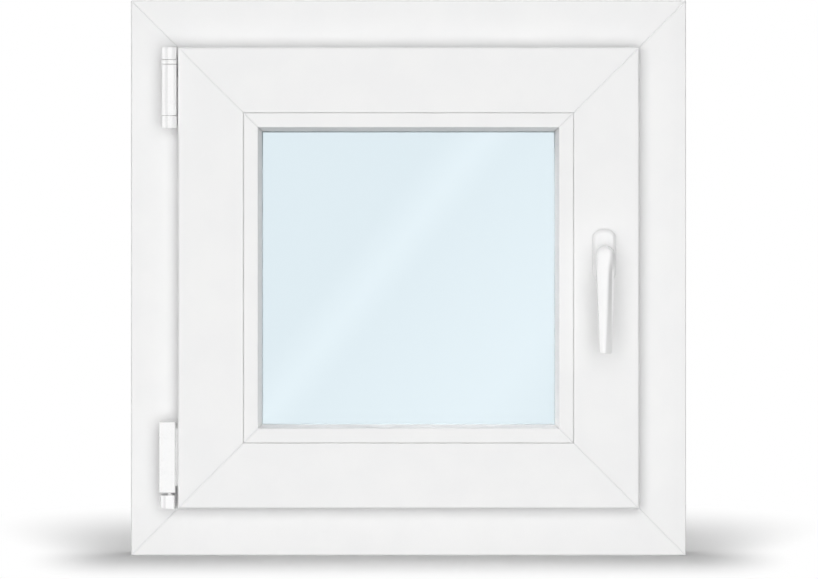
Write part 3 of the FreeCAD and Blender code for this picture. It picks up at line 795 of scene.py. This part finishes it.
@dataclass
class Screws:
    """Flat screws with a cross slot, which hold the fittings to sash and frame; spots in mm."""

    head_radius: float = 3.2 * MM
    head_top: float = 2.7 * MM
    head_height: float = 0.5 * MM
    slot_length: float = 3.6 * MM
    slot_width: float = 0.8 * MM
    slot_depth: float = 0.36 * MM
    head_sides: int = 20
    sash_spots: tuple[Spot, ...] = (
        (Facing.LOCK_SIDE, 228.1, -27.0, 112.0), (Facing.LOCK_SIDE, 228.1, -27.0, 210.0),
        (Facing.LOCK_SIDE, 228.1, -27.0, 300.0), (Facing.LOCK_SIDE, 228.1, -27.0, 390.0),
        (Facing.LOCK_SIDE, 228.1, -27.0, 488.0), (Facing.UP, -215.0, -27.0, 528.1),
        (Facing.UP, -135.0, -27.0, 528.1), (Facing.UP, 10.0, -27.0, 528.1))
    frame_spots: tuple[Spot, ...] = (
        (Facing.HINGE_SIDE, 238.5, -16.0, 166.0), (Facing.HINGE_SIDE, 238.5, -16.0, 194.0),
        (Facing.HINGE_SIDE, 238.5, -16.0, 466.0), (Facing.HINGE_SIDE, 238.5, -16.0, 494.0))

    def pattern(self, finish: bpy.types.Material) -> Pattern:
        """Tree of one screw head on every point.

        Args:
            finish: material of the heads.

        Returns:
            The finished tree.
        """
        tree = Pattern("screw_heads", {
            "Head Radius": self.head_radius, "Head Top": self.head_top,
            "Head Height": self.head_height, "Slot Length": self.slot_length,
            "Slot Width": self.slot_width, "Slot Depth": self.slot_depth})
        head = tree.out(tree.node("GeometryNodeMeshCone", sockets={
            "Vertices": self.head_sides, "Radius Top": tree.size("Head Top"),
            "Radius Bottom": tree.size("Head Radius"), "Depth": tree.size("Head Height")}), "Mesh")
        length, width = tree.size("Slot Length"), tree.size("Slot Width")
        for across, along in ((length, width), (width, length)):
            bar = tree.node("GeometryNodeMeshCube", sockets={
                "Size": tree.vector(across, along, tree.size("Slot Depth") * 2)})
            raised = tree.node("GeometryNodeTransform", sockets={
                "Geometry": tree.out(bar, "Mesh"),
                "Translation": tree.vector(0, 0, tree.size("Head Height"))})
            cut = tree.node("GeometryNodeMeshBoolean", {"operation": "DIFFERENCE"}, {
                "Mesh 1": head, "Mesh 2": tree.out(raised)})
            head = tree.out(cut, "Mesh")
        facing = tree.node(
            "GeometryNodeInputNamedAttribute", {"data_type": "FLOAT_VECTOR"}, {"Name": "facing"})
        tree.close(tree.size("Points"), head, tree.out(facing, "Attribute"), finish)
        return tree

    def build(self, finishes: Finishes) -> None:
        """Sets the screws of the sash and of the frame."""
        tree = self.pattern(finishes.steel_and_hole_shade)
        for body, spots in (("sash", self.sash_spots), ("frame", self.frame_spots)):
            points = bpy.data.meshes.new(body + "_spots")
            points.from_pydata([(x * MM, y * MM, z * MM) for _, x, y, z in spots], [], [])
            facing = points.attributes.new("facing", "FLOAT_VECTOR", "POINT")
            for entry, (way, *_) in zip(facing.data, spots):
                entry.vector = way.value
            screws = tree.make(body + "_screws", points)
            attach(screws, body)


@dataclass
class SpacerHoles:
    """Dark discs along the inner faces of the glazing spacer: painted shade where its fine holes
    are.
    """

    width: float = 327.9 * MM
    height: float = 327.9 * MM
    middle: float = 300 * MM
    depth: float = -16 * MM
    pitch: float = 4 * MM
    radius: float = 0.5 * MM
    rim: float = 0.05 * MM
    taper: float = 0.7
    sides: int = 8

    def build(self, finishes: Finishes) -> None:
        """Sets the dark discs of painted hole shade round the spacer."""
        tree = Pattern("spacer_holes", {
            "Width": self.width, "Height": self.height, "Middle": self.middle,
            "Depth": self.depth, "Pitch": self.pitch, "Radius": self.radius, "Rim": self.rim})
        outline = tree.node("GeometryNodeCurvePrimitiveQuadrilateral", sockets={
            "Width": tree.size("Width"), "Height": tree.size("Height")})
        upright = tree.node("GeometryNodeTransform", sockets={
            "Geometry": tree.out(outline), "Rotation": (math.radians(90), 0.0, 0.0),
            "Translation": tree.vector(0, tree.size("Depth"), tree.size("Middle"))})
        dots = tree.node("GeometryNodeCurveToPoints", {"mode": "LENGTH"}, {
            "Curve": tree.out(upright), "Length": tree.size("Pitch")})
        inward = tree.node("ShaderNodeVectorMath", {"operation": "CROSS_PRODUCT"}, {
            0: (0.0, 1.0, 0.0), 1: tree.out(dots, "Tangent")})
        # Each hole is a dark disc standing a rim proud: painted shade, not an opening.
        hole = tree.node("GeometryNodeMeshCone", sockets={
            "Vertices": self.sides, "Radius Top": tree.size("Radius") * self.taper,
            "Radius Bottom": tree.size("Radius"), "Depth": tree.size("Rim")})
        tree.close(
            tree.out(dots, "Points"), tree.out(hole, "Mesh"), tree.out(inward), finishes.steel_and_hole_shade)
        holes = tree.make("spacer_holes", bpy.data.meshes.new("spacer_spots"))
        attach(holes, "sash")


@dataclass
class OuterFrame:
    """Fixed frame: four mitred bars, its seal and the drain covers outdoors."""

    level: tuple[str, ...] = ("frame_head", "frame_sill")
    upright: tuple[str, ...] = ("frame_hinge_jamb", "frame_lock_jamb")

    def dress(self, finishes: Finishes) -> None:
        """Gives the bars, seal and covers their finishes."""
        dress(finishes.level, *self.level)
        dress(finishes.upright, *self.upright)
        dress(finishes.rubber, "frame_seal")
        dress(finishes.moulded, "drain_covers")


@dataclass
class Sash:
    """Opening sash: four mitred bars, beads, seals and the double glazed unit."""

    level: tuple[str, ...] = (
        "sash_top_rail", "sash_bottom_rail", "glazing_bead_top", "glazing_bead_bottom")
    upright: tuple[str, ...] = (
        "sash_hinge_stile", "sash_lock_stile", "glazing_bead_left", "glazing_bead_right")

    def dress(self, finishes: Finishes) -> None:
        """Gives the bars, beads, seals and glass their finishes."""
        dress(finishes.level, *self.level)
        dress(finishes.upright, *self.upright)
        dress(finishes.rubber, "sash_seal")
        dress(finishes.gasket, "inner_glazing_gasket", "outer_glazing_gasket")
        dress(finishes.glass, "inner_pane", "outer_pane")
        dress(finishes.spacer, "glazing_spacer")


@dataclass
class Hinges:
    """Top and bottom hinge with pins and stay, and the covers clipped on the top barrel.

    A cover has a name, a body and the heights of its two ends in mm.
    """

    coated: tuple[str, ...] = ("bottom_hinge_band", "bottom_hinge_pivot")
    barrels: tuple[str, ...] = ("top_hinge_bracket", "top_hinge_sleeve")
    plated: tuple[str, ...] = ("top_hinge_pin", "stay_guide_rail")
    axis_x: float = -257.5 * MM
    axis_y: float = -51 * MM
    barrel_radius: float = 7.72 * MM
    cover_half: float = 7.9 * MM
    cover_front: float = 8.5 * MM
    cover_back: float = 0.5 * MM
    cover_edge: float = 0.25 * MM
    groove_left: float = -4.6 * MM
    groove_right: float = -1.5 * MM
    groove_depth: float = 0.7 * MM
    groove_slope: float = 0.4 * MM
    turning_corner: float = 3.4 * MM
    fixed_corner: float = 5.0 * MM
    corner_round: float = 0.6
    edge_round: float = 1.0 * MM
    lip_round: float = 0.3 * MM
    floor_round: float = 0.2 * MM
    back_round: float = 0.1 * MM
    steps: int = 5
    splits: int = 4
    covers: tuple[tuple[str, str, float, float], ...] = (
        ("top_cover_upper", "frame", 535.0, 548.2),
        ("top_cover_eye", "stay", 530.0, 534.6),
        ("top_cover_sleeve", "hinge_sleeve", 474.8, 529.6),
        ("top_cover_lower", "frame", 461.2, 474.4))

    def cover_loop(self, height: float, inset: float, corner: float) -> Loop:
        """Outline of a barrel cover: square outside with a groove, round inside.

        Args:
            height: height of the loop.
            inset: distance by which the outside is drawn in.
            corner: bevel of the corner next to the sash, which sweeps past the fixed covers.

        Returns:
            The loop's points.
        """
        half = self.cover_half - inset
        front = inset - self.cover_front
        floor = front + self.groove_depth
        corners = [
            (-half, self.cover_back, self.back_round),
            (-half, front, self.edge_round),
            (self.groove_left, front, self.lip_round),
            (self.groove_left + self.groove_slope, floor, self.floor_round),
            (self.groove_right - self.groove_slope, floor, self.floor_round),
            (self.groove_right, front, self.lip_round),
            (half - corner, front, self.corner_round * corner),
            (half, front + corner, self.corner_round * corner),
            (half, self.cover_back, self.back_round),
        ]
        outline = [Vector(point) for point in rounded_loop(corners, self.steps)]
        outside = outline[:1]
        for start, end in zip(outline, outline[1:]):
            outside += [start.lerp(end, (step + 1) / self.splits) for step in range(self.splits)]
        inside = [point.normalized() * self.barrel_radius for point in reversed(outside)]
        return [Vector((self.axis_x + x, self.axis_y + y, height)) for x, y in outside + inside]

    def build(self, finishes: Finishes) -> None:
        """Clips the covers on the barrel of the top hinge."""
        edge = self.cover_edge
        for name, body, low, high in self.covers:
            corner = self.fixed_corner if body == "frame" else self.turning_corner
            bottom, top = low * MM, high * MM
            heights = ((bottom, edge), (bottom + edge, 0.0), (top - edge, 0.0), (top, edge))
            loops = [self.cover_loop(*step, corner) for step in heights]
            cover = piece(name, [skin(loops, shell=True)], finishes.barrel)
            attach(cover, body)

    def dress(self, finishes: Finishes) -> None:
        """Gives the hinge parts their finishes."""
        dress(finishes.hinge, *self.coated)
        dress(finishes.barrel, *self.barrels)
        dress(finishes.bearing, "bottom_hinge_bearing")
        dress(finishes.zinc, *self.plated)
        dress(finishes.arm, "stay_arm")


@dataclass
class LockGear:
    """Lock edge: faceplate, cams and keeps."""

    plated: tuple[str, ...] = ("lock_faceplate", "locking_cams", "lock_keeps")

    def dress(self, finishes: Finishes) -> None:
        """Gives the gear its finish."""
        dress(finishes.zinc, *self.plated)


@dataclass
class Handle:
    """Lever handle: domed rosette on the sash and a bowed lever with a ridge.

    Each pair in rounds is the radius in mm of a corner of the lever, along it and at its hub.
    """

    axis_x: float = 210.5 * MM
    axis_z: float = 324 * MM
    sash_face: float = -55 * MM
    rosette_width: float = 25 * MM
    rosette_height: float = 55.8 * MM
    rosette_corner: float = 9.5 * MM
    rosette_thickness: float = 8 * MM
    rosette_wall: float = 3.8 * MM
    rosette_shoulder: float = 4.4 * MM
    rosette_crown: float = 0.5 * MM
    neck_radius: float = 7.6 * MM
    neck_play: float = 0.1 * MM
    hub_radius: float = 10.6 * MM
    hub_back: float = 0.2 * MM
    hub_depth: float = 31.8 * MM
    hub_crown: float = 0.3
    length: float = 105 * MM
    end_width: float = 13.2 * MM
    end_shift: float = 0.4 * MM
    root_thickness: float = 13 * MM
    end_thickness: float = 9.5 * MM
    bow: float = 2.5 * MM
    ridge_root: float = 3.6 * MM
    ridge_end: float = -1.9 * MM
    rim_root: float = 3.2 * MM
    rim_end: float = 1.0 * MM
    flute: float = 0.84
    flute_root: float = 0.2
    rim: float = 0.94
    hub_reach: float = 0.2
    end_round: float = 1.6 * MM
    end_squash: float = 0.9
    hub_tuck: float = 1.6 * MM
    side_share: float = 1 / 3
    undercut: float = 1 / 12
    neck_sink: float = 1 * MM
    neck_rim: float = 0.4 * MM
    neck_sides: int = 48
    steps: int = 7
    crown_steps: int = 14
    length_steps: int = 40
    end_steps: int = 6
    shoulder_steps: int = 10
    face_steps: int = 8
    face_reach: float = 0.99
    rosette_steps: int = 17
    rounds: tuple[tuple[float, float], ...] = (
        (1.6, 0.3), (2.4, 5.4), (4.4, 7.0), (1.6, 5.0), (0.4, 3.4), (0.4, 0.4))

    def section(self, share: float, lift: float, shrink: float) -> Loop:
        """Loop of the lever at one height.

        Args:
            share: 0 at the axis, 1 at the free end.
            lift: angle over the hub's crown, 0 at the axis and a quarter turn at its top.
            shrink: distance by which the loop is drawn in all round.

        Returns:
            The loop's points.
        """
        width = blend(2 * self.hub_radius, self.end_width, share)
        centre = self.end_shift * share
        ridge = centre + blend(self.ridge_root, self.ridge_end, share)
        rim = blend(self.rim_root, self.rim_end, share)
        thickness = blend(self.root_thickness, self.end_thickness, share)
        front = self.sash_face - self.rosette_thickness - self.hub_back - self.hub_depth
        front -= self.bow * 4 * share * (1 - share)
        hub = max(0.0, 1 - share / self.hub_reach)
        hub = hub * hub * (3 - 2 * hub)
        back = front + thickness + (self.hub_depth - self.root_thickness) * hub
        flute = front + thickness * blend(self.flute, self.flute_root, hub)
        left = centre - width / 2
        right = centre + width / 2
        places = (
            (left + self.hub_tuck * hub + shrink, back - shrink),
            (left + shrink, front + thickness * self.side_share + shrink),
            (ridge, front + shrink),
            (right - rim - shrink, flute),
            (right - shrink, front + thickness * self.rim),
            (right - width * self.undercut * (1 - hub) - shrink, back - shrink),
        )
        corners = [
            (*place, blend(*radii, hub) * MM) for place, radii in zip(places, self.rounds)]
        z = self.axis_z - self.length * share + self.hub_radius * math.sin(lift)
        narrow = math.cos(lift)
        depth = 1 - self.hub_crown * (1 - narrow)
        loop = []
        for across, y in rounded_loop(corners, self.steps):
            loop.append(Vector((self.axis_x + across * narrow, back + (y - back) * depth, z)))
        return loop

    def lever(self) -> bmesh.types.BMesh:
        """Skin of the lever, from the hub's crown to the rounded free end.

        Returns:
            The closed skin.
        """
        quarter = math.pi / 2
        loops = [
            self.section(0.0, quarter * (1 - step / self.crown_steps), 0.0)
            for step in range(self.crown_steps)]
        round_share = self.end_round / self.length
        loops += [
            self.section((1 - round_share) * step / self.length_steps, 0.0, 0.0)
            for step in range(self.length_steps + 1)]
        for step in range(1, self.end_steps + 1):
            angle = quarter * step / self.end_steps
            share = 1 - round_share * (1 - math.sin(angle))
            shrink = self.end_round * (1 - math.cos(angle)) * self.end_squash
            loops.append(self.section(share, 0.0, shrink))
        return skin(loops)

    def neck(self) -> bmesh.types.BMesh:
        """Round neck between hub and rosette.

        Returns:
            The closed skin.
        """
        front = self.sash_face - self.rosette_thickness
        profile = [
            (self.neck_radius, -self.hub_back - self.neck_sink),
            (self.neck_radius, -self.neck_play - self.neck_rim),
            (self.neck_radius - self.neck_rim, -self.neck_play)]
        centre = Vector((self.axis_x, front, self.axis_z))
        return turned(profile, centre, Vector((0, 1, 0)), self.neck_sides)

    def rosette(self) -> bmesh.types.BMesh:
        """Skin of the rosette: a wall, a rounded shoulder and a crowned face.

        Returns:
            The closed skin.
        """
        half = self.rosette_width / 2
        tall = self.rosette_height / 2
        rise = self.rosette_thickness - self.rosette_wall - self.rosette_crown
        rings = [(0.0, 0.0)]
        for step in range(self.shoulder_steps + 1):
            share = step / self.shoulder_steps
            height = self.rosette_wall + rise * (1 - (1 - share) ** 2)
            rings.append((self.rosette_shoulder * share, height))
        for step in range(1, self.face_steps + 1):
            share = step / self.face_steps
            face = (half - self.rosette_shoulder) * share * self.face_reach
            height = self.rosette_thickness - self.rosette_crown * (1 - share) ** 2
            rings.append((self.rosette_shoulder + face, height))
        loops = []
        for inset, height in rings:
            corner = self.rosette_corner * (1 - inset / half)
            outline = rounded_loop([
                (sign_x * (half - inset), sign_z * (tall - inset), corner)
                for sign_x, sign_z in ((1, 1), (-1, 1), (-1, -1), (1, -1))], self.rosette_steps)
            loops.append([
                Vector((self.axis_x + x, self.sash_face - height, self.axis_z + z))
                for x, z in outline])
        return skin(loops)

    def build(self, finishes: Finishes) -> None:
        """Makes the handle's pieces in place of its solids."""
        lever = piece("lever", [self.lever(), self.neck()], finishes.handle)
        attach(lever, "handle")
        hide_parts("handle_lever")
        rosette = piece("rosette", [self.rosette()], finishes.handle)
        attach(rosette, "sash")
        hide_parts("handle_rosette")


# Studio


@dataclass(frozen=True)
class Lamp:
    """Square soft lamp, aimed at the middle of the window."""

    name: str
    azimuth: float
    elevation: float
    distance: float
    size: float
    power: float

    def build(self, aim: Vector) -> None:
        """Hangs the lamp.

        Args:
            aim: point that the lamp looks at.
        """
        data = bpy.data.lights.new(self.name, "AREA")
        data.shape = "SQUARE"
        data.size = self.size
        data.energy = self.power
        lamp = link(self.name, data)
        turn, rise = math.radians(self.azimuth), math.radians(self.elevation)
        level = math.cos(rise)
        away = Vector((math.sin(turn) * level, -math.cos(turn) * level, math.sin(rise)))
        lamp.location = aim + away * self.distance
        lamp.rotation_euler = (-away).to_track_quat("-Z", "Y").to_euler()
        data.cycles.use_multiple_importance_sampling = False
        lamp.visible_camera = False
        lamp.visible_glossy = False
        lamp.visible_transmission = False


@dataclass
class Studio:
    """Pale floor, white surroundings, soft lamps and the camera.

    The daylight has a strength all round, one from the upper left and one from the upper right.
    """

    camera_place: tuple[float, float, float] = (0.54 * MM, -4.535, 287.5 * MM)
    lens: float = 183.2
    sensor: float = 36.0
    far: float = 50.0
    floor_radius: float = 3.0
    half_width: float = 300 * MM
    half_depth: float = 35 * MM
    clear_beside: float = 0.115
    clear_spread: float = 0.28
    clear_before: float = 0.38
    clear_behind: float = 1.0
    clear_start: float = 0.05
    floor_sides: int = 96
    floor_shown: float = 0.84
    floor_bounce: float = 0.2
    ambient_front: float = 0.0
    ambient_back: float = 0.35
    ambient_span: tuple[float, float] = (-0.3, 0.5)
    strip_slant: tuple[float, float] = (0.788, 0.615)
    strip_nearest: float = 0.05
    strip_start: float = 0.02
    strip_span: float = 0.07
    strip_stops: tuple[tuple[float, float], ...] = (
        (0.05, 0.30), (0.167, 1.60), (0.26, 0.60), (0.734, 1.60), (0.94, 0.70))
    daylight: tuple[float, float, float] = (1.0, 14.0, 9.0)
    daylight_colour: Colour = (1.13, 1.0, 0.95)
    daylight_slant: tuple[float, float] = (0.85, 0.55)
    horizon_span: tuple[float, float] = (-0.1, 0.3)
    aim: tuple[float, float, float] = (0.0, 0.0, 0.3)
    lamps: tuple[Lamp, ...] = (
        Lamp("lamp_front", 0.0, 0.0, 3.0, 4.0, 120.0),
        Lamp("lamp_top", 0.0, 40.0, 4.0, 2.4, 9.0),
        Lamp("lamp_left", -40.0, 10.0, 5.0, 2.4, 14.0),
        Lamp("lamp_over", 180.0, 75.0, 4.0, 3.0, 36.0),
        Lamp("lamp_back", 180.0, 5.0, 3.0, 4.0, 66.0),
    )

    def camera(self) -> None:
        """Sets up the camera square to the window."""
        data = bpy.data.cameras.new("camera")
        data.lens = self.lens
        data.sensor_width = self.sensor
        data.sensor_fit = "HORIZONTAL"
        data.clip_end = self.far
        made = link("camera", data)
        made.location = self.camera_place
        made.rotation_euler = (math.radians(90), 0.0, 0.0)
        bpy.context.scene.camera = made

    def floor(self) -> None:
        """Lays the pale floor on which the frame stands."""
        mesh = bmesh.new()
        bmesh.ops.create_circle(
            mesh, cap_ends=True, segments=self.floor_sides, radius=self.floor_radius)
        data = bpy.data.meshes.new("floor")
        mesh.to_mesh(data)
        mesh.free()
        material = bpy.data.materials.new("floor_white")
        recipe = Recipe(material)
        matt, shown = (
            recipe.node("ShaderNodeBsdfDiffuse", sockets={"Color": (grey, grey, grey, 1.0)})
            for grey in (self.floor_bounce, self.floor_shown))
        white = recipe.node("ShaderNodeEmission", sockets={
            "Color": (1.0, 1.0, 1.0, 1.0), "Strength": 1.0})
        x, y, _ = recipe.axes()
        behind = (y - self.half_depth).most(0.0)
        beside = (abs(x) - self.half_width).most(0.0)
        beside = beside / (behind * self.clear_spread + self.clear_beside)
        before = (0 - y - self.half_depth).most(0.0) / self.clear_before
        behind = behind / self.clear_behind
        away = (beside * beside + before * before + behind * behind).root()
        shown = recipe.node("ShaderNodeMixShader", sockets={
            0: away.step_up(self.clear_start, 1.0), 1: recipe.out(shown), 2: recipe.out(white)})
        path = recipe.node("ShaderNodeLightPath")
        seen = recipe.out(path, "Is Camera Ray").most(recipe.out(path, "Is Transmission Ray"))
        seen = seen.most(recipe.out(path, "Is Glossy Ray"))
        shader = recipe.node("ShaderNodeMixShader", sockets={
            0: seen, 1: recipe.out(matt), 2: recipe.out(shown)})
        recipe.node("ShaderNodeOutputMaterial", sockets={"Surface": recipe.out(shader)})
        data.materials.append(material)
        made = link("floor", data)
        made.visible_shadow = False

    def surroundings(self) -> None:
        """White surroundings, strips of light for polished faces and daylight for the bead slopes.

        A polished face mirrors the strips. The daylight only counts for light that a matt face
        gathers through the panes.
        """
        world = bpy.data.worlds.new("surroundings")
        bpy.context.scene.world = world
        recipe = Recipe(world)
        path = recipe.node("ShaderNodeLightPath")
        direction = recipe.node("ShaderNodeSeparateXYZ", sockets={
            0: recipe.out(recipe.node("ShaderNodeTexCoord"), "Generated")})
        x, y, z = (recipe.out(direction, index) for index in range(3))
        strip_x, strip_z = self.strip_slant
        across = (x * strip_x - z * strip_z) / (0 - y).most(self.strip_nearest)
        placed = (across + self.strip_start) / self.strip_span
        ramp = recipe.node("ShaderNodeValToRGB", {"stops": self.strip_stops}, {"Fac": placed})
        strips = recipe.out(ramp, "Color")
        ambient = recipe.mix(
            y.step_up(*self.ambient_span), (self.ambient_front,) * 3, (self.ambient_back,) * 3)
        shaded = recipe.out(path, "Diffuse Depth").step_up(0.0, 1.0)
        low, left, right = self.daylight
        day_x, day_z = self.daylight_slant
        upper_left = (z * day_z - x * day_x).most(0.0)
        upper_right = z.step_up(*self.horizon_span) * x.most(0.0)
        sky = low + upper_left * left + upper_right * right
        plain = recipe.mix(recipe.out(path, "Is Glossy Ray"), ambient, strips)
        seen = recipe.out(path, "Is Camera Ray").most(recipe.out(path, "Is Transmission Ray"))
        warm = recipe.node("ShaderNodeVectorMath", {"operation": "SCALE"}, {
            0: self.daylight_colour, "Scale": sky})
        colour = recipe.mix(seen, plain, recipe.mix(shaded, (1.0, 1.0, 1.0), recipe.out(warm)))
        shader = recipe.node("ShaderNodeBackground", sockets={"Color": colour, "Strength": 1.0})
        recipe.node("ShaderNodeOutputWorld", sockets={"Surface": recipe.out(shader)})

    def build(self) -> None:
        """Sets up everything round the window."""
        bpy.context.scene.view_settings.view_transform = "Standard"
        self.camera()
        self.floor()
        self.surroundings()
        for lamp in self.lamps:
            lamp.build(Vector(self.aim))


def main() -> None:
    """Builds the studio, dresses the solids and adds the pieces made here."""
    logging.basicConfig(level=logging.INFO, format="%(name)s: %(message)s")
    Studio().build()
    finishes = Finishes()
    OuterFrame().dress(finishes)
    Sash().dress(finishes)
    hinges = Hinges()
    hinges.dress(finishes)
    hinges.build(finishes)
    LockGear().dress(finishes)
    Handle().build(finishes)
    Screws().build(finishes)
    SpacerHoles().build(finishes)


if __name__ == "__main__":
    main()
